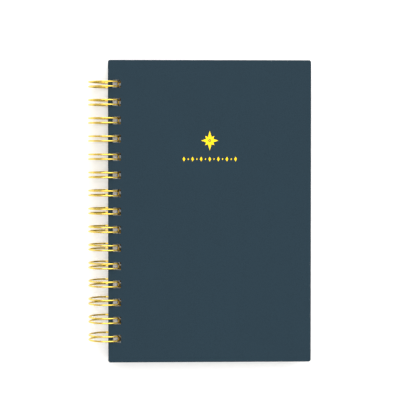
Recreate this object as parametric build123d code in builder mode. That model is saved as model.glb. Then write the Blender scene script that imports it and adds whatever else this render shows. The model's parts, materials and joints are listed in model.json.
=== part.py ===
"""Hard-cover logbook bound with a double-loop wire.

The book lies closed on its back cover, with the spine at the left.
+X runs from the spine to the fore-edge, +Y from the tail to the head, +Z up, in millimetres.
The origin is under the middle of the closed book, at the height of the surface it lies on.

Everything turns about one hinge axis, which runs along Y through the centre of the wire rings.
Each piece is drawn on a plane through that axis. On that plane a piece's x is its reach, the distance
from the axis towards the fore-edge, and its height is the distance over the axis.
"""

import os
from math import asin, atan2, cos, degrees, hypot, radians, sin

from build123d import *

os.makedirs("parts", exist_ok=True)

# ---------------------------------------------------------------- driving dimensions

# Covers
COVER_WIDTH = 141.7
COVER_HEIGHT = 211.0
BOARD_THICKNESS = 1.8
WRAP_THICKNESS = 0.25
ENDPAPER_THICKNESS = 0.15
TURN_IN = 14.0  # how far the wrap is turned in over the inside of the board
ENDPAPER_MARGIN = 3.0  # wrap left showing round the endpaper
CORNER_RADIUS = 1.6
EDGE_ROUND = 0.45  # how much the covered edges are rounded

# Leaves
COVER_OVERHANG = 3.0  # how far a cover stands out past the leaves at the head, tail and fore-edge
SHEET_THICKNESS = 0.13
SHEET_PITCH = 0.138  # one sheet and the air over it
SHEETS_PER_SET = 8
SET_COUNT = 12
LEAF_CORNER_RADIUS = 0.8

# Wire
WIRE_DIAMETER = 1.2
WIRE_BEND_RADIUS = 1.0
LOOP_PITCH = 12.7
LOOP_WIDTH = 3.27  # between the two wires of one loop
LOOP_END_MARGIN = 12.0  # least length of leaf left past the middle of the first and last loop
TIP_LEAD = 7.5  # degrees round the ring from the root bars to the closed ends of the loops

# Punched holes
HOLE_EDGE = 3.1  # material left between a hole and the spine edge
HOLE_CORNER_RADIUS = 0.45

# Clearances
SPINE_GAP = 1.8  # from the hinge axis out to the covers' spine edges
RING_GAP = 0.4  # from the inside of the rings in to the nearest corners of the punched strips
HOLE_PLAY = 1.3  # from the outside of the rings out to the far side of the leaves' holes
COVER_HOLE_PLAY = 0.4  # the same in the covers
HOLE_SIDE_PLAY = 0.42  # from a loop to each side of its hole, along the spine
ROOT_GAP = 0.2  # from the root bars to the title leaf under them and to the front cover over them
BLOCK_GAP = 0.02  # from the first sheet to the back cover
COVER_SEAT = 0.03  # from the title leaf's fore-edge to the front cover

# Foil ornaments
FOIL_THICKNESS = 0.05
FOIL_RECESS = 0.08  # depth of the stamping
STAR_REACH = 6.9  # from the middle of the star to its north and south points
STAR_SIDE_REACH = 6.0  # to its east and west points
STAR_WAIST = 1.55  # to the corners between the main points, along x and along y
STAR_SMALL_REACH = 3.2  # to the tips of the four small points, along x and along y
STAR_SMALL_WAIST = 2.1  # to the corners between the small points
STAR_EYE_RADIUS = 1.0
STAR_ABOVE_CENTRE = 49.4
LOZENGE_COUNT = 13
LOZENGE_PITCH = 3.0
LOZENGE_TALL = 3.4
LOZENGE_WIDE = 1.9
LOZENGE_SMALL_TALL = 1.5
LOZENGE_SMALL_WIDE = 1.0
ROW_ABOVE_CENTRE = 36.5

# ---------------------------------------------------------------- sizes that follow

wire_radius = WIRE_DIAMETER / 2

# Heights inside a cover, counted from its outer face inwards
board_level = WRAP_THICKNESS
turn_in_level = board_level + BOARD_THICKNESS
cover_thickness = turn_in_level + WRAP_THICKNESS
lined_thickness = cover_thickness + ENDPAPER_THICKNESS

# Heights of the leaves: the block and the root bars on it lie evenly about the hinge axis
set_height = SHEETS_PER_SET * SHEET_PITCH
block_height = SET_COUNT * set_height + SHEET_THICKNESS
root_room = ROOT_GAP + WIRE_DIAMETER + ROOT_GAP
block_bottom = -(block_height + root_room) / 2
title_bottom = block_bottom + SET_COUNT * set_height
title_top = title_bottom + SHEET_THICKNESS
root_height = title_top + ROOT_GAP + wire_radius
back_outside = block_bottom - BLOCK_GAP - lined_thickness

# Reaches of the covers, from the hinge axis towards the fore-edge
cover_end = SPINE_GAP + COVER_WIDTH
cover_centre = SPINE_GAP + COVER_WIDTH / 2
cover_strip_end = SPINE_GAP + HOLE_EDGE

# The rings are as small as the back cover's punched strip lets them be
ring_clear = hypot(cover_strip_end, back_outside)
ring_inside = ring_clear + RING_GAP
ring_radius = ring_inside + wire_radius
ring_outside = ring_radius + wire_radius
bend_swing = degrees(atan2(WIRE_BEND_RADIUS, ring_radius))  # turn of the ring that a wire's bend takes up
root_radius = hypot(ring_radius, WIRE_BEND_RADIUS)
root_reach = (root_radius**2 - root_height**2) ** 0.5
root_angle = degrees(atan2(root_height, root_reach))
tip_angle = root_angle + TIP_LEAD

# The leaves' punched strips reach as far in as the rings let the lowest leaf
leaf_strip_end = (ring_clear**2 - block_bottom**2) ** 0.5
leaf_start = leaf_strip_end - HOLE_EDGE
leaf_end = cover_end - COVER_OVERHANG
leaf_width = leaf_end - leaf_start
leaf_height = COVER_HEIGHT - 2 * COVER_OVERHANG
leaf_centre = leaf_start + leaf_width / 2
loop_count = int((leaf_height - 2 * LOOP_END_MARGIN) // LOOP_PITCH) + 1

# The book is turned about the hinge axis until the back cover's fore-edge is as low as the rings
back_fore_reach = cover_end - EDGE_ROUND
back_fore_drop = -back_outside - EDGE_ROUND
back_fore_radius = hypot(back_fore_reach, back_fore_drop)
book_turn = degrees(asin((ring_outside - EDGE_ROUND) / back_fore_radius) - atan2(back_fore_drop, back_fore_reach))

# The front cover's lining passes just over the root bars and comes down on the title leaf's fore-edge
seat_height = title_top + COVER_SEAT
seat_run = hypot(leaf_end - root_reach, root_height - seat_height)
seat_slope = atan2(root_height - seat_height, leaf_end - root_reach)
cover_slope = seat_slope + asin((wire_radius + ROOT_GAP) / seat_run)
lining_height = leaf_end * sin(cover_slope) + seat_height * cos(cover_slope)
front_outside = lining_height + lined_thickness
front_turn = book_turn + degrees(cover_slope)

# One punch makes the holes of the covers and of the leaves, so the wider need sets its size
leaf_hole_need = ring_outside + HOLE_PLAY - leaf_strip_end
cover_hole_need = (ring_outside**2 - lining_height**2) ** 0.5 + COVER_HOLE_PLAY - cover_strip_end
hole_width = max(leaf_hole_need, cover_hole_need)
hole_height = LOOP_WIDTH + WIRE_DIAMETER + 2 * HOLE_SIDE_PLAY
leaf_hole_centre = leaf_strip_end + hole_width / 2
cover_hole_centre = cover_strip_end + hole_width / 2

# The front cover's fore-edge and the rings are the widest parts of the closed book
fore_turn = radians(front_turn)
fore_edge = back_fore_reach * cos(fore_turn) + (front_outside - EDGE_ROUND) * sin(fore_turn) + EDGE_ROUND
hinge_x = (ring_outside - fore_edge) / 2
hinge_z = ring_outside

# ---------------------------------------------------------------- planes

book_plane = Plane((hinge_x, 0, hinge_z)).rotated((0, book_turn, 0))
front_plane = Plane((hinge_x, 0, hinge_z)).rotated((0, front_turn, 0))
hinge_axis = Axis(book_plane.origin, (0, 1, 0))

# Each cover is drawn from its outer face inwards
back_skin = book_plane.offset(back_outside)
front_face = front_plane.offset(front_outside)
front_skin = Plane(origin=front_face.origin, x_dir=front_face.x_dir, z_dir=-front_face.z_dir)

# ---------------------------------------------------------------- covers


def cover_outline(inset, corner):
    """Draw a cover's outline, drawn in from its edges by an inset."""
    with Locations((cover_centre, 0)):
        RectangleRounded(COVER_WIDTH - 2 * inset, COVER_HEIGHT - 2 * inset, corner)


def cover_window(inset):
    """Draw a square-cornered rectangle inside a cover's outline."""
    with Locations((cover_centre, 0)):
        Rectangle(COVER_WIDTH - 2 * inset, COVER_HEIGHT - 2 * inset)


def punch_cover(skin):
    """Punch the row of square holes through the active part of a cover."""
    with BuildSketch(skin) as punches:
        with Locations((cover_hole_centre, 0)):
            with GridLocations(0, LOOP_PITCH, 1, loop_count):
                RectangleRounded(hole_width, hole_height, HOLE_CORNER_RADIUS)
    extrude(punches.sketch, amount=lined_thickness, mode=Mode.SUBTRACT)


def star_outline():
    """Draw the compass star: four long points, four small ones, and an eye round a dot."""
    with Locations((cover_centre, STAR_ABOVE_CENTRE)):
        Polygon(
            (0, STAR_REACH),
            (STAR_WAIST, STAR_WAIST),
            (STAR_SIDE_REACH, 0),
            (STAR_WAIST, -STAR_WAIST),
            (0, -STAR_REACH),
            (-STAR_WAIST, -STAR_WAIST),
            (-STAR_SIDE_REACH, 0),
            (-STAR_WAIST, STAR_WAIST),
            align=None,
        )
        Polygon(
            (STAR_SMALL_REACH, STAR_SMALL_REACH),
            (STAR_SMALL_WAIST, 0),
            (STAR_SMALL_REACH, -STAR_SMALL_REACH),
            (0, -STAR_SMALL_WAIST),
            (-STAR_SMALL_REACH, -STAR_SMALL_REACH),
            (-STAR_SMALL_WAIST, 0),
            (-STAR_SMALL_REACH, STAR_SMALL_REACH),
            (0, STAR_SMALL_WAIST),
            align=None,
        )
        Circle(STAR_EYE_RADIUS, mode=Mode.SUBTRACT)
        Circle(STAR_EYE_RADIUS / 2)


def lozenge(wide, tall):
    """Draw one lozenge."""
    Polygon((0, tall / 2), (wide / 2, 0), (0, -tall / 2), (-wide / 2, 0), align=None)


def lozenge_row():
    """Draw the row of lozenges, with every second one small."""
    for number in range(LOZENGE_COUNT):
        from_middle = number - (LOZENGE_COUNT - 1) / 2
        with Locations((cover_centre + from_middle * LOZENGE_PITCH, ROW_ABOVE_CENTRE)):
            if number % 2 == 0:
                lozenge(LOZENGE_WIDE, LOZENGE_TALL)
            else:
                lozenge(LOZENGE_SMALL_WIDE, LOZENGE_SMALL_TALL)


for side, skin in (("back", back_skin), ("front", front_skin)):
    # Greyboard sheet
    with BuildPart() as board:
        with BuildSketch(skin.offset(board_level)):
            cover_outline(WRAP_THICKNESS, CORNER_RADIUS - WRAP_THICKNESS)
        extrude(amount=BOARD_THICKNESS)
        punch_cover(skin)
    board.part.label = f"{side}_cover_board"
    export_step(board.part, f"parts/{side}_cover_board.step")

    # Covering material: the outer face, the edges and the turned-in border
    with BuildPart() as wrap:
        with BuildSketch(skin):
            cover_outline(0, CORNER_RADIUS)
        extrude(amount=cover_thickness)
        outer_face = wrap.faces().sort_by(Axis(skin.origin, skin.z_dir))[0]
        fillet(outer_face.edges(), EDGE_ROUND)
        with BuildSketch(skin.offset(board_level)):
            cover_outline(WRAP_THICKNESS, CORNER_RADIUS - WRAP_THICKNESS)
        extrude(amount=BOARD_THICKNESS, mode=Mode.SUBTRACT)
        with BuildSketch(skin.offset(turn_in_level)):
            cover_window(TURN_IN)
        extrude(amount=WRAP_THICKNESS, mode=Mode.SUBTRACT)
        punch_cover(skin)
        if side == "front":
            with BuildSketch(front_face):
                star_outline()
                lozenge_row()
            extrude(amount=-FOIL_RECESS, mode=Mode.SUBTRACT)
    wrap.part.label = f"{side}_cover_wrap"
    export_step(wrap.part, f"parts/{side}_cover_wrap.step")

    # Endpaper: glued to the turned-in border, and down on the board inside it
    with BuildPart() as endpaper:
        with BuildSketch(skin.offset(cover_thickness)):
            cover_window(ENDPAPER_MARGIN)
        extrude(amount=ENDPAPER_THICKNESS)
        with BuildSketch(skin.offset(turn_in_level)):
            cover_window(TURN_IN)
        extrude(amount=WRAP_THICKNESS)
        with BuildSketch(skin.offset(turn_in_level + ENDPAPER_THICKNESS)):
            cover_window(TURN_IN + ENDPAPER_THICKNESS)
        extrude(amount=WRAP_THICKNESS, mode=Mode.SUBTRACT)
        punch_cover(skin)
    endpaper.part.label = f"{side}_cover_endpaper"
    export_step(endpaper.part, f"parts/{side}_cover_endpaper.step")

# ---------------------------------------------------------------- foil ornaments

foil_plane = front_face.offset(-FOIL_RECESS)

with BuildPart() as foil_star:
    with BuildSketch(foil_plane):
        star_outline()
    extrude(amount=FOIL_THICKNESS)
foil_star.part.label = "foil_star"
export_step(foil_star.part, "parts/foil_star.step")

with BuildPart() as foil_lozenges:
    with BuildSketch(foil_plane):
        lozenge_row()
    extrude(amount=FOIL_THICKNESS)
foil_lozenges.part.label = "foil_lozenges"
export_step(foil_lozenges.part, "parts/foil_lozenges.step")

# ---------------------------------------------------------------- leaves


def leaf_outline():
    """Draw one punched leaf."""
    with Locations((leaf_centre, 0)):
        RectangleRounded(leaf_width, leaf_height, LEAF_CORNER_RADIUS)
    with Locations((leaf_hole_centre, 0)):
        with GridLocations(0, LOOP_PITCH, 1, loop_count):
            RectangleRounded(hole_width, hole_height, HOLE_CORNER_RADIUS, mode=Mode.SUBTRACT)


# The leaves lie in sets of sheets that are turned together, each set drawn as one closed stack
for number in range(SET_COUNT):
    with BuildPart() as leaf_set:
        with BuildSketch(book_plane.offset(block_bottom + number * set_height)):
            leaf_outline()
        extrude(amount=set_height - (SHEET_PITCH - SHEET_THICKNESS))
    leaf_set.part.label = f"leaf_set_{number + 1:02d}"
    export_step(leaf_set.part, f"parts/leaf_set_{number + 1:02d}.step")

with BuildPart() as title_leaf:
    with BuildSketch(book_plane.offset(title_bottom)):
        leaf_outline()
    extrude(amount=SHEET_THICKNESS)
title_leaf.part.label = "title_leaf"
export_step(title_leaf.part, "parts/title_leaf.step")

# ---------------------------------------------------------------- wire


def outwards(angle):
    """The direction from the hinge axis out to a place on the ring."""
    return book_plane.x_dir * cos(radians(angle)) + book_plane.z_dir * sin(radians(angle))


def onwards(angle):
    """The direction along the ring at a place on it, from +X towards +Z."""
    return outwards(angle + 90)


def wire_bend(angle, along, forward, sideways):
    """Bend one wire through a right angle, from the end of its arc into a bar along the spine.

    forward is 1 or -1 for the way the wire runs round the ring, sideways for the way the bar runs.
    """
    start = book_plane.origin + outwards(angle) * ring_radius + book_plane.y_dir * along
    middle = start + book_plane.y_dir * (sideways * WIRE_BEND_RADIUS)
    with BuildSketch(Plane(origin=start, x_dir=outwards(angle), z_dir=onwards(angle) * forward)) as section:
        Circle(wire_radius)
    revolve(section.sketch, axis=Axis(middle, outwards(angle) * (-forward * sideways)), revolution_arc=90)


def wire_bar(angle, forward, along, length):
    """Run a straight bar along the spine, between two bends."""
    foot = book_plane.origin + outwards(angle) * ring_radius
    start = foot + onwards(angle) * (forward * WIRE_BEND_RADIUS) + book_plane.y_dir * along
    with BuildSketch(Plane(origin=start, x_dir=outwards(angle), z_dir=book_plane.y_dir)) as section:
        Circle(wire_radius)
    extrude(section.sketch, amount=length)


tip_arc_end = tip_angle + bend_swing
root_arc_end = root_angle - bend_swing
tip_bar = LOOP_WIDTH - 2 * WIRE_BEND_RADIUS
root_bar = LOOP_PITCH - LOOP_WIDTH - 2 * WIRE_BEND_RADIUS

with BuildPart() as loop_tip:
    wire_bend(tip_arc_end, -LOOP_WIDTH / 2, -1, 1)
    wire_bar(tip_arc_end, -1, -tip_bar / 2, tip_bar)
    wire_bend(tip_arc_end, LOOP_WIDTH / 2, -1, -1)

with BuildPart() as root_link:
    wire_bend(root_arc_end, -(LOOP_PITCH - LOOP_WIDTH) / 2, 1, 1)
    wire_bar(root_arc_end, 1, -root_bar / 2, root_bar)
    wire_bend(root_arc_end, (LOOP_PITCH - LOOP_WIDTH) / 2, 1, -1)

with BuildPart() as binding_wire:
    arc_plane = Plane(origin=book_plane.origin, x_dir=outwards(root_arc_end), z_dir=-onwards(root_arc_end))
    with BuildSketch(arc_plane):
        with Locations((ring_radius, 0)):
            with GridLocations(0, LOOP_PITCH, 1, loop_count):
                with GridLocations(0, LOOP_WIDTH, 1, 2):
                    Circle(wire_radius)
    revolve(axis=hinge_axis, revolution_arc=360 - (tip_arc_end - root_arc_end))
    with GridLocations(0, LOOP_PITCH, 1, loop_count):
        add(loop_tip.part)
    with GridLocations(0, LOOP_PITCH, 1, loop_count - 1):
        add(root_link.part)
binding_wire.part.label = "binding_wire"
export_step(binding_wire.part, "parts/binding_wire.step")
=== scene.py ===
"""Finishes, page stacks and studio for the wire-bound logbook.

Run as a script inside Blender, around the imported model. All lengths are metres, in the model's own frame:
+X from the wire to the fore-edge, +Y from tail to head, +Z up out of the front cover.
"""

import json
import math

import bmesh
import bpy
from bpy.props import FloatProperty, FloatVectorProperty, IntProperty, PointerProperty
from mathutils import Matrix, Vector


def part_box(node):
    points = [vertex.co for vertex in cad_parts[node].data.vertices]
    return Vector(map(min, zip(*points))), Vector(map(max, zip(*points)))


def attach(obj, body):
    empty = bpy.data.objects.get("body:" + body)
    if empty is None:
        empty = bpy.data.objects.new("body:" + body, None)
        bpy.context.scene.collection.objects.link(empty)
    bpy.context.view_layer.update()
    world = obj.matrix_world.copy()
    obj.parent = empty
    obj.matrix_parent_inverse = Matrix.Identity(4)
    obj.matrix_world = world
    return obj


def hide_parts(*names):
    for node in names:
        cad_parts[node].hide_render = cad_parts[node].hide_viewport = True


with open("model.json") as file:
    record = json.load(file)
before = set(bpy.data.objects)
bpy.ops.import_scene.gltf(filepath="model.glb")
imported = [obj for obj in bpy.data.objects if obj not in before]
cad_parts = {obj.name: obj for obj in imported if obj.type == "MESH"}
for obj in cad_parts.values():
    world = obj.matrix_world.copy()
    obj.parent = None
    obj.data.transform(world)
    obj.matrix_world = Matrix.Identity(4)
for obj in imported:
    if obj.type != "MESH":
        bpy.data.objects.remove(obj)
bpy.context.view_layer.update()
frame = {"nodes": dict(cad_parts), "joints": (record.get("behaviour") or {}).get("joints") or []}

bl_info = {
    "name": "Wire-bound logbook finishes",
    "version": (1, 0, 0),
    "blender": (4, 5, 0),
    "location": "View3D > Sidebar > Logbook",
    "description": "Leatherette covers, gold wire and foil, ruled leaves and a pale studio",
    "category": "Object",
}

MM = 0.001
SETS = sorted(name for name in frame["nodes"] if name.startswith("leaf_set_"))
HINGE = frame["joints"][0]
SENSOR_WIDTH = 36.0  # millimetres, the camera's own unit
HEADING_ROWS = 3.0  # rows of the log table that its heading takes up
LOG_ROWS = 18.0
TOTAL_ROWS = 3.0
COLUMN_PLACES = (0.10, 0.22, 0.34, 0.43, 0.52, 0.61, 0.70, 0.79)  # shares of the table's width
RULE_LINE = 0.16 * MM
PUNCHED_MARGIN = 14 * MM  # paper left unprinted at the holes
FREE_MARGIN = 6 * MM  # paper left unprinted at the fore-edge
ARC_STEPS = 4  # straight pieces in each rounded corner of a sheet
HOLE_SEARCH = (1 * MM, 12 * MM)  # from a leaf's spine edge, where the punched holes lie
HOLES_APART = 6 * MM  # more than a hole's height, less than what lies between two holes
TITLE_SHIFT = 4 * MM  # the title panel lies this far out from the middle of the leaf
TITLE_FRAMES = (  # half width, half height and line
    (52 * MM, 90 * MM, 0.45 * MM),
    (50.6 * MM, 88.6 * MM, 0.15 * MM),
)
TITLE_PANEL = (36 * MM, 32 * MM)  # half width and half height of the writing lines on the title leaf
TITLE_LINE_PITCH = 14 * MM
TITLE_LINE_HALF = 0.007  # half the thickness of a writing line, as a share of the pitch
PRINT_FACING = 0.5  # only faces that look up or down more than this carry print
FLOOR_HALF = 3.0
FLOOR_DROP = 0.05 * MM  # from the lowest point of the book down to the table top
CAMERA_SIDE = -1.18 * MM  # from the middle of the cover to the camera
AIM_ABOVE = 2.35 * MM  # from the middle of the cover up to the point the camera is aimed at
TIP_SHADE_TOP = (math.radians(47), math.radians(42))  # angles round the ring over the tip bends, where the wire gets painted shade
TIP_SHADE_FOOT = (math.radians(26), math.radians(30))
SOFTBOX_SPINE = (-0.55, -0.28)  # sines of the angles off straight up, where the soft light fades in
SOFTBOX_FORE = (0.86, 0.70)
SOFTBOX_TAIL = (-0.34, 0.02)
SOFTBOX_HEAD = (0.99, 0.90)
SKYLINE = (0.16, 0.08)  # rise over which the bright band round the table fades out
SKYLINE_GLOW = 1.05


# ---------------------------------------------------------------- settings


class CoverSettings(bpy.types.PropertyGroup):
    """Looks of the covers."""

    cloth: FloatVectorProperty(
        name="Covering colour", description="Colour of the leatherette", subtype="COLOR", size=3, min=0,
        max=1, default=(0.0191, 0.0397, 0.0561),
    )
    rubbed: FloatVectorProperty(
        name="Rubbed colour", description="Colour of the leatherette where edges are rubbed",
        subtype="COLOR", size=3, min=0, max=1, default=(0.040, 0.064, 0.083),
    )
    grain_size: FloatProperty(
        name="Grain size", description="Width of one pebble of the grain", subtype="DISTANCE",
        unit="LENGTH", min=0.0001, max=0.005, default=0.55 * MM,
    )
    grain_depth: FloatProperty(
        name="Grain depth", description="Height of the grain", subtype="DISTANCE", unit="LENGTH",
        min=0.0, max=0.001, default=0.035 * MM,
    )
    rub_width: FloatProperty(
        name="Rub width", description="Width of the rubbed border at an edge", subtype="DISTANCE",
        unit="LENGTH", min=0.0, max=0.01, default=0.7 * MM,
    )


class MetalSettings(bpy.types.PropertyGroup):
    """Looks of the wire and the foil."""

    wire: FloatVectorProperty(
        name="Wire colour", description="Colour of the gold-coated wire", subtype="COLOR", size=3,
        min=0, max=1, default=(0.92, 0.69, 0.14),
    )
    # Painted shade: a dark brown laid on the wire round the tip bends, in place of the shadow inside the
    # punched holes.
    bends: FloatVectorProperty(
        name="Bend colour",
        description="Colour of the wire's coating where it is shaded at the tight tip bends",
        subtype="COLOR", size=3, min=0, max=1, default=(0.17, 0.085, 0.012),
    )
    foil: FloatVectorProperty(
        name="Foil colour", description="Colour of the stamped foil", subtype="COLOR", size=3, min=0,
        max=1, default=(0.78, 0.56, 0.018),
    )


class LeafSettings(bpy.types.PropertyGroup):
    """Sizes and looks of the leaves."""

    sheets: IntProperty(
        name="Sheets in a set", description="Separate sheets that each set of leaves is shown as",
        min=1, max=20, default=8,
    )
    share: FloatProperty(
        name="Sheet share", description="Thickness of a sheet, as a share of its place in the stack",
        subtype="FACTOR", min=0.1, max=1.0, default=0.86,
    )
    drift: FloatProperty(
        name="Drift", description="How far a sheet may lie out of line with the stack",
        subtype="DISTANCE", unit="LENGTH", min=0.0, max=0.001, default=0.09 * MM,
    )
    corner: FloatProperty(
        name="Corner radius", description="Radius of a sheet's corners", subtype="DISTANCE",
        unit="LENGTH", min=0.0001, max=0.02, default=0.8 * MM,
    )
    punch_corner: FloatProperty(
        name="Punch corner radius", description="Radius of the corners of the punched holes",
        subtype="DISTANCE", unit="LENGTH", min=0.0001, max=0.002, default=0.45 * MM,
    )
    paper: FloatVectorProperty(
        name="Paper colour", description="Colour of the leaves", subtype="COLOR", size=3, min=0, max=1,
        default=(0.71, 0.695, 0.66),
    )
    title_paper: FloatVectorProperty(
        name="Title leaf colour", description="Colour of the title leaf", subtype="COLOR", size=3,
        min=0, max=1, default=(0.82, 0.81, 0.785),
    )
    ink: FloatVectorProperty(
        name="Rule colour", description="Colour of the printed rules", subtype="COLOR", size=3, min=0,
        max=1, default=(0.16, 0.24, 0.32),
    )
    row_pitch: FloatProperty(
        name="Row pitch", description="Height of one row of the log", subtype="DISTANCE", unit="LENGTH",
        min=0.002, max=0.03, default=7.5 * MM,
    )


class StageSettings(bpy.types.PropertyGroup):
    """Camera and light."""

    camera_height: FloatProperty(
        name="Camera height", description="Height of the camera over the table", subtype="DISTANCE",
        unit="LENGTH", min=0.2, max=5.0, default=0.970,
    )
    camera_forward: FloatProperty(
        name="Camera offset",
        description="How far the camera stands towards the head from the book's middle",
        subtype="DISTANCE", unit="LENGTH", min=-1.0, max=1.0, default=0.046,
    )
    camera_shift: FloatProperty(
        name="Camera shift", description="Vertical lens shift, as a share of the sensor", min=-0.5,
        max=0.5, default=-0.08,
    )
    field: FloatProperty(
        name="Field", description="Width of the picture at the height of the front cover",
        subtype="DISTANCE", unit="LENGTH", min=0.05, max=2.0, default=0.2904,
    )
    softbox: FloatProperty(
        name="Soft light", description="Brightness of the large soft light overhead", min=0, max=20,
        default=2.7,
    )
    sky: FloatProperty(
        name="Surroundings", description="Brightness of the white studio round it", min=0, max=10,
        default=0.62,
    )
    table_glow: FloatProperty(
        name="Table glow", description="Light that the table top gives of itself", min=0, max=2,
        default=0.20,
    )


class LogbookSettings(bpy.types.PropertyGroup):
    """All the settings of the logbook."""

    covers: PointerProperty(type=CoverSettings, name="Covers", description="Looks of the covers")
    metal: PointerProperty(type=MetalSettings, name="Metal", description="Looks of the wire and the foil")
    leaves: PointerProperty(type=LeafSettings, name="Leaves", description="Sizes and looks of the leaves")
    stage: PointerProperty(type=StageSettings, name="Stage", description="Camera and light")


# ---------------------------------------------------------------- node helpers


class Wiring:
    """Adds nodes to one tree. A value is another node's socket or a plain constant."""

    def __init__(self, tree):
        self.tree = tree

    def feed(self, socket, value):
        """Link a socket, or set its constant."""
        if isinstance(value, bpy.types.NodeSocket):
            self.tree.links.new(value, socket)
        else:
            socket.default_value = value

    def add(self, kind, values=None, **settings):
        """Add one node, with its settings and its inputs by name or number."""
        node = self.tree.nodes.new(kind)
        for name, value in settings.items():
            setattr(node, name, value)
        for key, value in (values or {}).items():
            self.feed(node.inputs[key], value)
        return node

    def math(self, operation, first, second=0.0, third=0.0):
        """One Math node's result."""
        return self.add("ShaderNodeMath", {0: first, 1: second, 2: third}, operation=operation).outputs[0]

    def largest(self, values):
        """The largest of several values."""
        result = values[0]
        for value in values[1:]:
            result = self.math("MAXIMUM", result, value)
        return result

    def step(self, value, low, high):
        """Run smoothly from 0 to 1 as a value goes from low to high."""
        node = self.add(
            "ShaderNodeMapRange",
            {"Value": value, "From Min": low, "From Max": high, "To Min": 0.0, "To Max": 1.0},
            interpolation_type="SMOOTHSTEP",
        )
        return node.outputs["Result"]

    def spread(self, value, low, high):
        """Spread a 0 to 1 value over another range."""
        node = self.add("ShaderNodeMapRange", {"Value": value, "To Min": low, "To Max": high})
        return node.outputs["Result"]

    def blend(self, factor, first, second):
        """Mix two colours."""
        node = self.add("ShaderNodeMix", data_type="RGBA")
        self.feed(node.inputs["Factor"], factor)
        self.feed(node.inputs[6], first)
        self.feed(node.inputs[7], second)
        return node.outputs[2]

    def noise(self, where, scale, detail=2.0, roughness=0.5):
        """One noise value over the surface."""
        node = self.add(
            "ShaderNodeTexNoise",
            {"Vector": where, "Scale": scale, "Detail": detail, "Roughness": roughness},
        )
        return node.outputs["Fac"]


def solid(colour):
    """A colour with its alpha."""
    return (*colour, 1.0)


def new_group(name, inputs, outputs):
    """Start a shader node group. Sockets are (name, kind, default) and (name, kind)."""
    tree = bpy.data.node_groups.new(name, "ShaderNodeTree")
    for label, kind, default in inputs:
        socket = tree.interface.new_socket(name=label, in_out="INPUT", socket_type=kind)
        if default is not None:
            socket.default_value = default
    for label, kind in outputs:
        tree.interface.new_socket(name=label, in_out="OUTPUT", socket_type=kind)
    wiring = Wiring(tree)
    return tree, wiring, wiring.add("NodeGroupInput").outputs, wiring.add("NodeGroupOutput").inputs


def place_group(wiring, name, **values):
    """Put a node group in a material. Keyword names stand for the group's input names."""
    node = wiring.add("ShaderNodeGroup", node_tree=bpy.data.node_groups[name])
    for key, value in values.items():
        wiring.feed(node.inputs[key.replace("_", " ").capitalize()], value)
    return node.outputs


def new_material(name):
    """Start a material and return it with its wiring, its shader and its Object coordinates."""
    material = bpy.data.materials.new(name)
    material.use_nodes = True
    wiring = Wiring(material.node_tree)
    shader = material.node_tree.nodes["Principled BSDF"]
    where = wiring.add("ShaderNodeTexCoord").outputs["Object"]
    return material, wiring, shader, where


def set_shader(wiring, shader, **values):
    """Set a shader's sockets. Keyword names stand for the socket names."""
    names = {socket.name.lower().replace(" ", "_"): socket for socket in shader.inputs}
    for key, value in values.items():
        wiring.feed(names[key], value)


def raise_surface(wiring, shader, height, distance, strength=1.0):
    """Drive the shader's normal from a height."""
    bump = wiring.add("ShaderNodeBump", {"Height": height, "Distance": distance, "Strength": strength})
    wiring.feed(shader.inputs["Normal"], bump.outputs["Normal"])


# ---------------------------------------------------------------- shared effects


def group_pebble_grain():
    """Leatherette grain: rounded pebbles with fine creases between them."""
    inputs = [("Vector", "NodeSocketVector", None), ("Grain size", "NodeSocketFloat", 0.001)]
    outputs = [("Height", "NodeSocketFloat"), ("Crease", "NodeSocketFloat")]
    tree, wiring, given, result = new_group("pebble_grain", inputs, outputs)
    scale = wiring.math("DIVIDE", 1.0, given["Grain size"])
    sway_scale = wiring.math("MULTIPLY", scale, 0.6)
    sway = wiring.add("ShaderNodeTexNoise", {"Vector": given["Vector"], "Scale": sway_scale, "Detail": 2.0})
    offset = wiring.add(
        "ShaderNodeVectorMath", {0: sway.outputs["Color"], 1: (0.5, 0.5, 0.5)}, operation="SUBTRACT"
    )
    drift = wiring.add("ShaderNodeVectorMath", {0: offset.outputs[0]}, operation="SCALE")
    wiring.feed(drift.inputs["Scale"], wiring.math("MULTIPLY", given["Grain size"], 1.1))
    moved = wiring.add("ShaderNodeVectorMath", {0: given["Vector"], 1: drift.outputs[0]}, operation="ADD")
    cells = wiring.add(
        "ShaderNodeTexVoronoi", {"Vector": moved.outputs[0], "Scale": scale, "Randomness": 0.9},
        feature="SMOOTH_F1",
    )
    cells.inputs["Smoothness"].default_value = 0.35
    pebble = wiring.math("SUBTRACT", 1.0, cells.outputs["Distance"])
    fine = wiring.noise(given["Vector"], wiring.math("MULTIPLY", scale, 4.0), detail=2.0)
    height = wiring.math("MULTIPLY_ADD", fine, 0.22, pebble)
    wiring.feed(result["Height"], height)
    wiring.feed(result["Crease"], wiring.step(cells.outputs["Distance"], 0.35, 0.75))
    return tree


def group_edge_rub():
    """Wear at the outline of a flat rectangular piece, broken up by noise."""
    inputs = [
        ("Vector", "NodeSocketVector", None),
        ("Half size", "NodeSocketVector", (0.1, 0.1, 0.01)),
        ("Rub width", "NodeSocketFloat", 0.001),
    ]
    tree, wiring, given, result = new_group("edge_rub", inputs, [("Mask", "NodeSocketFloat")])
    place = wiring.add("ShaderNodeSeparateXYZ", {0: given["Vector"]}).outputs
    half = wiring.add("ShaderNodeSeparateXYZ", {0: given["Half size"]}).outputs
    across = wiring.math("SUBTRACT", half["X"], wiring.math("ABSOLUTE", place["X"]))
    along = wiring.math("SUBTRACT", half["Y"], wiring.math("ABSOLUTE", place["Y"]))
    inset = wiring.math("MINIMUM", across, along)
    share = wiring.math("DIVIDE", inset, given["Rub width"])
    broken = wiring.spread(wiring.noise(given["Vector"], 420.0, detail=4.0, roughness=0.65), -0.75, 0.95)
    border = wiring.step(share, 1.0, 0.1)
    wiring.feed(result["Mask"], wiring.math("MULTIPLY", border, wiring.step(broken, -0.1, 0.6)))
    return tree


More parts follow.
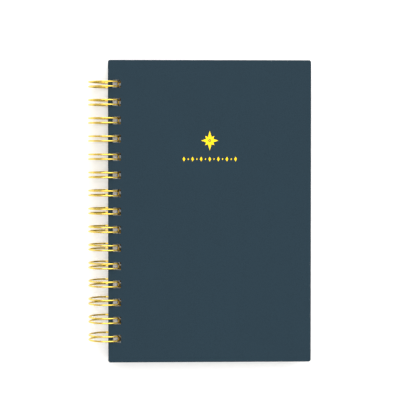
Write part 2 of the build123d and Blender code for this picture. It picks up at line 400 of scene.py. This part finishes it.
def group_paper_fibre():
    """Felt-like fibres and faint cloudiness of uncoated paper and board."""
    inputs = [("Vector", "NodeSocketVector", None), ("Fibre size", "NodeSocketFloat", 0.0005)]
    outputs = [("Height", "NodeSocketFloat"), ("Cloud", "NodeSocketFloat"), ("Fleck", "NodeSocketFloat")]
    tree, wiring, given, result = new_group("paper_fibre", inputs, outputs)
    scale = wiring.math("DIVIDE", 1.0, given["Fibre size"])
    stretched = wiring.add(
        "ShaderNodeVectorMath", {0: given["Vector"], 1: (1.0, 0.35, 1.0)}, operation="MULTIPLY"
    )
    fibres = wiring.noise(stretched.outputs[0], scale, detail=5.0, roughness=0.7)
    wiring.feed(result["Height"], fibres)
    cloud_scale = wiring.math("MULTIPLY", scale, 0.06)
    wiring.feed(result["Cloud"], wiring.noise(given["Vector"], cloud_scale, detail=3.0))
    flecks = wiring.noise(stretched.outputs[0], wiring.math("MULTIPLY", scale, 0.9), detail=1.0)
    wiring.feed(result["Fleck"], wiring.step(flecks, 0.70, 0.80))
    return tree


def group_log_ruling():
    """Printed log table: a frame, a tinted heading band, ruled columns and evenly spaced rows."""
    inputs = [
        ("Vector", "NodeSocketVector", None),
        ("Half size", "NodeSocketVector", (0.06, 0.09, 0.0)),
        ("Row pitch", "NodeSocketFloat", 0.0075),
        ("Line", "NodeSocketFloat", 0.0002),
    ]
    outputs = [("Ink", "NodeSocketFloat"), ("Band", "NodeSocketFloat")]
    tree, wiring, given, result = new_group("log_ruling", inputs, outputs)
    place = wiring.add("ShaderNodeSeparateXYZ", {0: given["Vector"]}).outputs
    half = wiring.add("ShaderNodeSeparateXYZ", {0: given["Half size"]}).outputs
    line = given["Line"]

    def near(value, target, width):
        """1 where a value is within a width of a target."""
        return wiring.math("COMPARE", value, target, width)

    beside = wiring.math("ABSOLUTE", place["X"])
    above = wiring.math("ABSOLUTE", place["Y"])
    inside_x = wiring.math("LESS_THAN", beside, wiring.math("ADD", half["X"], line))
    inside_y = wiring.math("LESS_THAN", above, wiring.math("ADD", half["Y"], line))
    inside = wiring.math("MULTIPLY", inside_x, inside_y)

    rows_down = wiring.math("DIVIDE", wiring.math("SUBTRACT", half["Y"], place["Y"]), given["Row pitch"])
    off_row = wiring.math("PINGPONG", rows_down, 0.5)
    row_half = wiring.math("DIVIDE", wiring.math("MULTIPLY", line, 0.4), given["Row pitch"])
    row_line = wiring.math("LESS_THAN", off_row, row_half)
    below_heading = wiring.math("GREATER_THAN", rows_down, HEADING_ROWS - 0.25)
    marks = [wiring.math("MULTIPLY", row_line, below_heading)]
    for share in COLUMN_PLACES:
        column = wiring.math("MULTIPLY", half["X"], share * 2 - 1)
        marks.append(near(place["X"], column, wiring.math("MULTIPLY", line, 0.5)))
    for rows in (HEADING_ROWS, HEADING_ROWS + LOG_ROWS):
        marks.append(near(rows_down, rows, wiring.math("DIVIDE", line, given["Row pitch"])))
    marks.append(near(beside, half["X"], line))
    marks.append(near(above, half["Y"], line))
    wiring.feed(result["Ink"], wiring.math("MULTIPLY", wiring.largest(marks), inside))

    heading = wiring.math("LESS_THAN", rows_down, HEADING_ROWS)
    totals = wiring.math("GREATER_THAN", rows_down, HEADING_ROWS + LOG_ROWS)
    wiring.feed(result["Band"], wiring.math("MULTIPLY", wiring.math("MAXIMUM", heading, totals), inside))
    return tree


# ---------------------------------------------------------------- measures from the frame


def page_axes(node):
    """A flat CAD node's directions: towards the fore-edge, towards the head, and out of its widest face."""
    mesh = frame["nodes"][node].data
    widest = max(mesh.polygons, key=lambda polygon: polygon.area)
    up = widest.normal.copy()
    if up.z < 0:
        up.negate()
    head = Vector((0, 1, 0))
    return head.cross(up).normalized(), head, up


def flat_box(node):
    """Lowest and highest reach, place along the spine and height of a flat CAD node, from the hinge."""
    across, head, up = page_axes(node)
    hinge = Vector(HINGE["pos_m"])
    points = [vertex.co - hinge for vertex in frame["nodes"][node].data.vertices]
    low = Vector(min(point.dot(axis) for point in points) for axis in (across, head, up))
    high = Vector(max(point.dot(axis) for point in points) for axis in (across, head, up))
    return low, high


def page_matrix(node):
    """The matrix that lays flat, hinge-centred coordinates onto a CAD node's plane."""
    across, head, up = page_axes(node)
    turn = Matrix((across, head, up)).transposed().to_4x4()
    return Matrix.Translation(Vector(HINGE["pos_m"])) @ turn


def punched_holes(node):
    """Lowest and highest corners of the punched holes of a flat CAD node, in the node's own plane."""
    across, head, _ = page_axes(node)
    low, high = flat_box(node)
    hinge = Vector(HINGE["pos_m"])
    points = [vertex.co - hinge for vertex in frame["nodes"][node].data.vertices]
    spots = [Vector((point.dot(across), point.dot(head))) for point in points]
    nearest, farthest = HOLE_SEARCH
    strip = [spot for spot in spots if low.x + nearest < spot.x < low.x + farthest]
    rims = [spot for spot in strip if abs(spot.y) < high.y - nearest]
    rims.sort(key=lambda spot: spot.y)
    holes = [[rims[0]]]
    for spot in rims[1:]:
        if spot.y - holes[-1][-1].y > HOLES_APART:
            holes.append([])
        holes[-1].append(spot)
    return [
        (Vector((min(s.x for s in hole), hole[0].y)), Vector((max(s.x for s in hole), hole[-1].y)))
        for hole in holes
    ]


# ---------------------------------------------------------------- sheets


def rounded_outline(low, high, radius):
    """Points round a rectangle with rounded corners."""
    points = []
    corners = ((high.x, high.y, 0), (low.x, high.y, 90), (low.x, low.y, 180), (high.x, low.y, 270))
    for x, y, start in corners:
        middle_x = x - math.copysign(radius, x - (low.x + high.x) / 2)
        middle_y = y - math.copysign(radius, y - (low.y + high.y) / 2)
        for step in range(ARC_STEPS + 1):
            angle = math.radians(start + 90 * step / ARC_STEPS)
            points.append((middle_x + radius * math.cos(angle), middle_y + radius * math.sin(angle)))
    return points


def sheet_mesh(name, outlines, low, thickness, place):
    """A flat sheet with holes: its outlines filled, given a thickness and laid in place."""
    curve = bpy.data.curves.new(name, "CURVE")
    curve.dimensions = "2D"
    curve.fill_mode = "BOTH"
    curve.extrude = thickness / 2
    for outline in outlines:
        spline = curve.splines.new("POLY")
        spline.points.add(len(outline) - 1)
        for point, (x, y) in zip(spline.points, outline):
            point.co = (x, y, 0, 1)
        spline.use_cyclic_u = True
    holder = bpy.data.objects.new(name, curve)
    bpy.context.collection.objects.link(holder)
    mesh = bpy.data.meshes.new_from_object(holder.evaluated_get(bpy.context.evaluated_depsgraph_get()))
    bpy.data.objects.remove(holder)
    bpy.data.curves.remove(curve)
    mesh.transform(place @ Matrix.Translation((0, 0, low + thickness / 2)))
    form = bmesh.new()
    form.from_mesh(mesh)
    bmesh.ops.remove_doubles(form, verts=form.verts, dist=0.002 * MM)
    bmesh.ops.recalc_face_normals(form, faces=form.faces)
    form.to_mesh(mesh)
    form.free()
    return mesh


def stack_tree():
    """Geometry nodes that stack copies of one sheet, each a little out of line and with its own tone."""
    tree = bpy.data.node_groups.new("sheet_stack", "GeometryNodeTree")
    sockets = (
        ("Sheet", "NodeSocketGeometry"), ("Count", "NodeSocketInt"), ("Step", "NodeSocketVector"),
        ("Drift", "NodeSocketVector"), ("Seed", "NodeSocketInt"), ("Paper", "NodeSocketMaterial"),
    )
    for label, kind in sockets:
        tree.interface.new_socket(name=label, in_out="INPUT", socket_type=kind)
    tree.interface.new_socket(name="Stack", in_out="OUTPUT", socket_type="NodeSocketGeometry")
    wiring = Wiring(tree)
    given = wiring.add("NodeGroupInput").outputs
    line = wiring.add(
        "GeometryNodeMeshLine", {"Count": given["Count"], "Offset": given["Step"]}, mode="OFFSET"
    )
    sheets = wiring.add(
        "GeometryNodeInstanceOnPoints", {"Points": line.outputs["Mesh"], "Instance": given["Sheet"]}
    )
    back = wiring.add(
        "ShaderNodeVectorMath", {0: given["Drift"], 1: (-1.0, -1.0, -1.0)}, operation="MULTIPLY"
    )
    shove = wiring.add(
        "FunctionNodeRandomValue", {"Min": back.outputs[0], "Max": given["Drift"], "Seed": given["Seed"]},
        data_type="FLOAT_VECTOR",
    )
    moved = wiring.add(
        "GeometryNodeTranslateInstances",
        {"Instances": sheets.outputs["Instances"], "Translation": shove.outputs[0], "Local Space": False},
    )
    tone = wiring.add("FunctionNodeRandomValue", data_type="FLOAT")
    wiring.feed(tone.inputs["Seed"], given["Seed"])
    toned = wiring.add(
        "GeometryNodeStoreNamedAttribute",
        {"Geometry": moved.outputs["Instances"], "Name": "sheet_tone"},
        data_type="FLOAT", domain="INSTANCE",
    )
    wiring.feed(toned.inputs["Value"], tone.outputs[1])
    real = wiring.add("GeometryNodeRealizeInstances", {"Geometry": toned.outputs["Geometry"]})
    painted = wiring.add(
        "GeometryNodeSetMaterial", {"Geometry": real.outputs["Geometry"], "Material": given["Paper"]}
    )
    wiring.add("NodeGroupOutput", {"Stack": painted.outputs["Geometry"]})
    return tree


def run_tree(piece, tree, values):
    """Run a geometry node tree on a piece and keep the result as its plain mesh."""
    modifier = piece.modifiers.new(tree.name, "NODES")
    modifier.node_group = tree
    for item in tree.interface.items_tree:
        if item.in_out == "INPUT" and item.name in values:
            modifier[item.identifier] = values[item.name]
    bpy.context.view_layer.update()
    graph = bpy.context.evaluated_depsgraph_get()
    mesh = bpy.data.meshes.new_from_object(
        piece.evaluated_get(graph), preserve_all_data_layers=True, depsgraph=graph
    )
    piece.modifiers.remove(modifier)
    piece.data = mesh


def leaf_stacks(settings):
    """Show every set of leaves as its separate sheets."""
    tree = stack_tree()
    paper = material_leaf_paper(settings)
    for number, node in enumerate(SETS):
        low, high = flat_box(node)
        step = (high.z - low.z) / settings.sheets
        outlines = [rounded_outline(low, high, settings.corner)]
        for hole_low, hole_high in punched_holes(node):
            outlines.append(rounded_outline(hole_low, hole_high, settings.punch_corner))
        mesh = sheet_mesh(node, outlines, low.z, step * settings.share, page_matrix(node))
        piece = bpy.data.objects.new(f"{node}_sheets", mesh)
        bpy.context.collection.objects.link(piece)
        values = {
            "Count": settings.sheets,
            "Step": page_axes(node)[2] * step,
            "Drift": (settings.drift, settings.drift, 0.0),
            "Seed": number + 1,
            "Paper": paper,
        }
        run_tree(piece, tree, values)
        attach(piece, node)
        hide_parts(node)


# ---------------------------------------------------------------- materials


def page_table(settings):
    """Middle and half size of the printed table on a leaf."""
    low, high = flat_box(SETS[0])
    left = low.x + PUNCHED_MARGIN
    right = high.x - FREE_MARGIN
    rows = HEADING_ROWS + LOG_ROWS + TOTAL_ROWS
    middle = Vector((HINGE["pos_m"][0] + (left + right) / 2, 0, 0))
    return middle, Vector(((right - left) / 2, rows * settings.row_pitch / 2, 0))


def centred(wiring, where, middle):
    """Object coordinates counted from a middle."""
    node = wiring.add("ShaderNodeMapping", {"Vector": where, "Location": -Vector(middle)})
    return node.outputs["Vector"]


def material_leaf_paper(settings):
    """Uncoated writing paper with the printed log table, and cut edges of slightly different tones."""
    material, wiring, shader, where = new_material("leaf_paper")
    fibre = place_group(wiring, "paper_fibre", vector=where, fibre_size=0.35 * MM)
    middle, half = page_table(settings)
    ruling = place_group(
        wiring, "log_ruling", vector=centred(wiring, where, middle), half_size=half,
        row_pitch=settings.row_pitch, line=RULE_LINE,
    )
    facing = wiring.add("ShaderNodeSeparateXYZ", {0: wiring.add("ShaderNodeTexCoord").outputs["Normal"]})
    printed = wiring.math("GREATER_THAN", wiring.math("ABSOLUTE", facing.outputs["Z"]), PRINT_FACING)
    tone = wiring.add("ShaderNodeAttribute", attribute_name="sheet_tone").outputs["Fac"]
    paper = Vector(settings.paper)
    shade = wiring.blend(fibre["Cloud"], solid(paper * 0.965), solid(paper))
    edge = wiring.blend(tone, solid(paper * 0.80), solid(paper * 1.02))
    base = wiring.blend(printed, edge, shade)
    tint = wiring.math("MULTIPLY", wiring.math("MULTIPLY", ruling["Band"], printed), 0.10)
    tinted = wiring.blend(tint, base, solid(settings.ink))
    rules = wiring.math("MULTIPLY", wiring.math("MULTIPLY", ruling["Ink"], printed), 0.62)
    inked = wiring.blend(rules, tinted, solid(settings.ink))
    set_shader(wiring, shader, base_color=inked, roughness=wiring.spread(fibre["Height"], 0.78, 0.92))
    set_shader(wiring, shader, specular_ior_level=0.3)
    raise_surface(wiring, shader, fibre["Height"], 0.015 * MM, 0.6)
    return material


def material_title_paper(settings):
    """The title leaf: the same paper, with a plain ruled panel to be filled in."""
    material, wiring, shader, where = new_material("title_paper")
    fibre = place_group(wiring, "paper_fibre", vector=where, fibre_size=0.35 * MM)
    low, high = flat_box("title_leaf")
    middle = Vector((HINGE["pos_m"][0] + (low.x + high.x) / 2 + TITLE_SHIFT, 0, 0))
    spot = wiring.add("ShaderNodeSeparateXYZ", {0: centred(wiring, where, middle)}).outputs
    beside = wiring.math("ABSOLUTE", spot["X"])
    above = wiring.math("ABSOLUTE", spot["Y"])
    marks = []

    def within(half_wide, half_tall):
        """1 inside a rectangle round the middle of the panel."""
        inside_x = wiring.math("LESS_THAN", beside, half_wide)
        return wiring.math("MULTIPLY", inside_x, wiring.math("LESS_THAN", above, half_tall))

    for half_wide, half_tall, line in TITLE_FRAMES:
        inner = within(half_wide - line, half_tall - line)
        marks.append(wiring.math("SUBTRACT", within(half_wide, half_tall), inner))
    off_line = wiring.math("PINGPONG", wiring.math("DIVIDE", spot["Y"], TITLE_LINE_PITCH), 0.5)
    on_line = wiring.math("LESS_THAN", off_line, TITLE_LINE_HALF)
    marks.append(wiring.math("MULTIPLY", within(*TITLE_PANEL), on_line))
    facing = wiring.add("ShaderNodeSeparateXYZ", {0: wiring.add("ShaderNodeTexCoord").outputs["Normal"]})
    printed = wiring.math("GREATER_THAN", facing.outputs["Z"], PRINT_FACING)
    paper = Vector(settings.title_paper)
    shade = wiring.blend(fibre["Cloud"], solid(paper * 0.965), solid(paper))
    ink = wiring.math("MULTIPLY", wiring.math("MULTIPLY", wiring.largest(marks), printed), 0.75)
    set_shader(wiring, shader, base_color=wiring.blend(ink, shade, solid(settings.ink)))
    set_shader(wiring, shader, roughness=wiring.spread(fibre["Height"], 0.78, 0.92), specular_ior_level=0.3)
    raise_surface(wiring, shader, fibre["Height"], 0.015 * MM, 0.6)
    return material


def material_leatherette(settings, node):
    """Fine-grained slate leatherette with painted shade in the grain's creases, a little paler where its
    edges are rubbed.
    """
    material, wiring, shader, where = new_material(f"leatherette_{node}")
    low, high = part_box(node)
    grain = place_group(wiring, "pebble_grain", vector=where, grain_size=settings.grain_size)
    rub = place_group(
        wiring, "edge_rub", vector=centred(wiring, where, (low + high) / 2), half_size=(high - low) / 2,
        rub_width=settings.rub_width,
    )
    cloth = Vector(settings.cloth)
    cloud = wiring.noise(where, 38.0, detail=3.0, roughness=0.6)
    even = wiring.blend(cloud, solid(cloth * 0.94), solid(cloth * 1.06))
    # Painted shade: the creases between the pebbles of the grain are darkened.
    crease_shaded = wiring.blend(wiring.math("MULTIPLY", grain["Crease"], 0.30), even, solid(cloth * 0.62))
    rubbed = wiring.blend(wiring.math("MULTIPLY", rub["Mask"], 0.5), crease_shaded, solid(settings.rubbed))
    rough = wiring.math("MULTIPLY_ADD", rub["Mask"], -0.10, wiring.spread(cloud, 0.56, 0.64))
    set_shader(wiring, shader, base_color=rubbed, roughness=rough, specular_ior_level=0.09)
    raise_surface(wiring, shader, grain["Height"], settings.grain_depth, 0.9)
    return material


def material_greyboard():
    """Pressed greyboard: layered, fibrous, and flecked where it is cut."""
    material, wiring, shader, where = new_material("greyboard")
    fibre = place_group(wiring, "paper_fibre", vector=where, fibre_size=0.6 * MM)
    layers = wiring.add("ShaderNodeVectorMath", {0: where, 1: (60.0, 60.0, 4200.0)}, operation="MULTIPLY")
    bands = wiring.noise(layers.outputs[0], 1.0, detail=2.0)
    base = wiring.blend(bands, (0.27, 0.25, 0.22, 1), (0.47, 0.45, 0.41, 1))
    flecked = wiring.blend(fibre["Fleck"], base, (0.12, 0.11, 0.10, 1))
    set_shader(wiring, shader, base_color=flecked, roughness=0.9, specular_ior_level=0.25)
    raise_surface(wiring, shader, wiring.math("ADD", bands, fibre["Height"]), 0.04 * MM)
    return material


def material_endpaper():
    """Off-white endpaper with a faint felt and sparse flecks."""
    material, wiring, shader, where = new_material("endpaper")
    fibre = place_group(wiring, "paper_fibre", vector=where, fibre_size=0.5 * MM)
    base = wiring.blend(fibre["Cloud"], (0.63, 0.61, 0.56, 1), (0.68, 0.66, 0.61, 1))
    flecked = wiring.blend(wiring.math("MULTIPLY", fibre["Fleck"], 0.35), base, (0.52, 0.47, 0.38, 1))
    set_shader(wiring, shader, base_color=flecked, specular_ior_level=0.3)
    set_shader(wiring, shader, roughness=wiring.spread(fibre["Height"], 0.80, 0.95))
    raise_surface(wiring, shader, fibre["Height"], 0.03 * MM, 0.7)
    return material


def material_gold_wire(settings):
    """Gold-coated steel wire: polished, with faint drawing marks and thin spots, and painted shade at the
    tip bends.
    """
    material, wiring, shader, where = new_material("gold_wire")
    gold = Vector(settings.wire)
    streak = wiring.add(
        "ShaderNodeVectorMath", {0: where, 1: (500.0, 6000.0, 500.0)}, operation="MULTIPLY"
    )
    marks = wiring.noise(streak.outputs[0], 1.0, detail=2.0)
    patches = wiring.noise(where, 900.0, detail=3.0, roughness=0.6)
    thin = solid((gold.x * 0.93, gold.y * 0.86, gold.z * 0.66))
    base = wiring.blend(wiring.step(patches, 0.35, 0.75), solid(gold), thin)
    polish = wiring.spread(marks, 0.10, 0.17)
    rough = wiring.math("MULTIPLY_ADD", wiring.step(patches, 0.4, 0.8), 0.08, polish)
    # Painted shade: the wire is darkened round the tip bends, where the tips dip into the punched holes.
    spot = wiring.add("ShaderNodeSeparateXYZ", {0: centred(wiring, where, HINGE["pos_m"])}).outputs
    round_ring = wiring.math("ARCTAN2", spot["Z"], spot["X"])
    past_foot = wiring.step(round_ring, *TIP_SHADE_FOOT)
    tip_shade_mask = wiring.math("MULTIPLY", wiring.step(round_ring, *TIP_SHADE_TOP), past_foot)
    toned = wiring.blend(wiring.math("MULTIPLY", tip_shade_mask, 0.85), base, solid(settings.bends))
    set_shader(wiring, shader, base_color=toned, metallic=1.0, roughness=rough)
    raise_surface(wiring, shader, marks, 0.006 * MM, 0.5)
    return material


def material_foil(settings):
    """Hot-stamped foil: bright, taking up the grain it is pressed into, with painted shade in the grain's
    creases, thin in a few specks.
    """
    material, wiring, shader, where = new_material("gold_foil")
    foil = Vector(settings.foil)
    grain = place_group(wiring, "pebble_grain", vector=where, grain_size=0.45 * MM)
    specks = wiring.step(wiring.noise(where, 3800.0, detail=3.0, roughness=0.7), 0.68, 0.78)
    # Painted shade: the foil is darker and deeper in colour in the grain's creases.
    sunken_shade = solid((foil.x * 0.86, foil.y * 0.74, foil.z * 0.55))
    base = wiring.blend(grain["Crease"], solid(foil), sunken_shade)
    worn = wiring.blend(wiring.math("MULTIPLY", specks, 0.6), base, (0.10, 0.09, 0.06, 1))
    set_shader(wiring, shader, base_color=worn, metallic=wiring.spread(specks, 1.0, 0.5))
    set_shader(wiring, shader, roughness=wiring.spread(grain["Crease"], 0.28, 0.42))
    raise_surface(wiring, shader, grain["Height"], 0.010 * MM, 0.6)
    return material


def paint(node, material):
    """Give a CAD node its material."""
    slots = frame["nodes"][node].material_slots
    if not slots:
        frame["nodes"][node].data.materials.append(material)
    for place in slots:
        place.material = material


# ---------------------------------------------------------------- stage


def studio_floor(settings):
    """A plain pale table top under the book, faintly lit from within."""
    mesh = bpy.data.meshes.new("table_top")
    form = bmesh.new()
    bmesh.ops.create_grid(form, x_segments=8, y_segments=8, size=FLOOR_HALF)
    form.to_mesh(mesh)
    form.free()
    floor = bpy.data.objects.new("table_top", mesh)
    floor.location.z = -FLOOR_DROP
    bpy.context.collection.objects.link(floor)
    material, wiring, shader, where = new_material("pale_table")
    cloud = wiring.noise(where, 3.0, detail=2.0)
    base = wiring.blend(cloud, (0.87, 0.865, 0.857, 1), (0.885, 0.88, 0.872, 1))
    set_shader(wiring, shader, base_color=base, roughness=0.9, specular_ior_level=0.1)
    shader.inputs["Emission Color"].default_value = (1.0, 1.0, 0.99, 1.0)
    shader.inputs["Emission Strength"].default_value = settings.table_glow
    mesh.materials.append(material)


def studio_light(settings):
    """White surroundings, and one long soft light overhead that leans to the head and the fore-edge."""
    world = bpy.data.worlds.new("studio")
    bpy.context.scene.world = world
    world.use_nodes = True
    wiring = Wiring(world.node_tree)
    direction = wiring.add("ShaderNodeTexCoord").outputs["Generated"]
    way = wiring.add("ShaderNodeSeparateXYZ", {0: direction}).outputs
    slant = wiring.math("SINE", wiring.math("ARCTAN2", way["X"], way["Z"]))
    limits = (
        wiring.step(slant, *SOFTBOX_SPINE), wiring.step(slant, *SOFTBOX_FORE),
        wiring.step(way["Y"], *SOFTBOX_TAIL), wiring.step(way["Y"], *SOFTBOX_HEAD),
        wiring.step(way["Z"], 0.0, 0.1),
    )
    softbox = limits[0]
    for limit in limits[1:]:
        softbox = wiring.math("MULTIPLY", softbox, limit)
    background = world.node_tree.nodes["Background"]
    background.inputs["Color"].default_value = (1.0, 1.0, 1.0, 1.0)
    overhead = wiring.spread(softbox, settings.sky, settings.softbox)
    skyline = wiring.math("MULTIPLY", wiring.step(way["Z"], *SKYLINE), SKYLINE_GLOW)
    wiring.feed(background.inputs["Strength"], wiring.math("MAXIMUM", overhead, skyline))


def studio_camera(settings):
    """A camera over the book, nearly straight down, with most of its framing from lens shift."""
    low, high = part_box("front_cover_wrap")
    cover_top = (low.z + high.z) / 2
    reach = settings.camera_height - cover_top
    data = bpy.data.cameras.new("camera")
    data.sensor_width = SENSOR_WIDTH
    data.lens = SENSOR_WIDTH * reach / settings.field
    data.shift_y = settings.camera_shift
    data.dof.use_dof = False
    camera = bpy.data.objects.new("camera", data)
    bpy.context.collection.objects.link(camera)
    middle = (low.x + high.x) / 2
    camera.location = (middle + CAMERA_SIDE, settings.camera_forward, settings.camera_height)
    framed = settings.camera_forward - AIM_ABOVE + settings.camera_shift * settings.field
    camera.rotation_euler = (-math.atan(framed / reach), 0, 0)
    bpy.context.scene.camera = camera


# ---------------------------------------------------------------- operators


class LOGBOOK_OT_effects(bpy.types.Operator):
    """Build the shader groups that several finishes share"""

    bl_idname = "logbook.effects"
    bl_label = "Build shared effects"

    def execute(self, context):
        group_pebble_grain()
        group_edge_rub()
        group_paper_fibre()
        group_log_ruling()
        return {"FINISHED"}


class LOGBOOK_OT_covers(bpy.types.Operator):
    """Finish the leatherette, boards and endpapers of both covers"""

    bl_idname = "logbook.covers"
    bl_label = "Finish covers"

    def execute(self, context):
        settings = context.scene.logbook.covers
        board = material_greyboard()
        lining = material_endpaper()
        for side in ("front", "back"):
            paint(f"{side}_cover_wrap", material_leatherette(settings, f"{side}_cover_wrap"))
            paint(f"{side}_cover_board", board)
            paint(f"{side}_cover_endpaper", lining)
        return {"FINISHED"}


class LOGBOOK_OT_foil(bpy.types.Operator):
    """Finish the stamped foil star and lozenges"""

    bl_idname = "logbook.foil"
    bl_label = "Finish foil"

    def execute(self, context):
        foil = material_foil(context.scene.logbook.metal)
        paint("foil_star", foil)
        paint("foil_lozenges", foil)
        return {"FINISHED"}


class LOGBOOK_OT_wire(bpy.types.Operator):
    """Finish the binding wire"""

    bl_idname = "logbook.wire"
    bl_label = "Finish wire"

    def execute(self, context):
        paint("binding_wire", material_gold_wire(context.scene.logbook.metal))
        return {"FINISHED"}


class LOGBOOK_OT_title_leaf(bpy.types.Operator):
    """Finish the title leaf"""

    bl_idname = "logbook.title_leaf"
    bl_label = "Finish title leaf"

    def execute(self, context):
        paint("title_leaf", material_title_paper(context.scene.logbook.leaves))
        return {"FINISHED"}


class LOGBOOK_OT_leaves(bpy.types.Operator):
    """Build every set of leaves from separate printed sheets"""

    bl_idname = "logbook.leaves"
    bl_label = "Build leaves"

    def execute(self, context):
        leaf_stacks(context.scene.logbook.leaves)
        return {"FINISHED"}


class LOGBOOK_OT_stage(bpy.types.Operator):
    """Set up the table, the lights and the camera"""

    bl_idname = "logbook.stage"
    bl_label = "Set the stage"

    def execute(self, context):
        settings = context.scene.logbook.stage
        studio_floor(settings)
        studio_light(settings)
        studio_camera(settings)
        context.scene.view_settings.view_transform = "Standard"
        return {"FINISHED"}


OPERATORS = (
    LOGBOOK_OT_stage,
    LOGBOOK_OT_effects,
    LOGBOOK_OT_covers,
    LOGBOOK_OT_foil,
    LOGBOOK_OT_wire,
    LOGBOOK_OT_title_leaf,
    LOGBOOK_OT_leaves,
)


class LOGBOOK_PT_panel(bpy.types.Panel):
    """Lists the logbook's settings and steps in the sidebar"""

    bl_idname = "LOGBOOK_PT_panel"
    bl_label = "Logbook"
    bl_space_type = "VIEW_3D"
    bl_region_type = "UI"
    bl_category = "Logbook"

    def draw(self, context):
        for section in ("covers", "metal", "leaves", "stage"):
            settings = getattr(context.scene.logbook, section)
            box = self.layout.box()
            for name in settings.__annotations__:
                box.prop(settings, name)
        for operator in OPERATORS:
            self.layout.operator(operator.bl_idname)


CLASSES = (
    CoverSettings, MetalSettings, LeafSettings, StageSettings, LogbookSettings, *OPERATORS,
    LOGBOOK_PT_panel,
)


def register():
    """Register the classes and the settings."""
    for kind in CLASSES:
        bpy.utils.register_class(kind)
    bpy.types.Scene.logbook = PointerProperty(type=LogbookSettings)


def unregister():
    """Take the settings and the classes away again."""
    del bpy.types.Scene.logbook
    for kind in reversed(CLASSES):
        bpy.utils.unregister_class(kind)


def main():
    """Make everything in order."""
    register()
    for operator in OPERATORS:
        _, _, name = operator.bl_idname.partition(".")
        getattr(bpy.ops.logbook, name)()


if __name__ == "__main__":
    main()
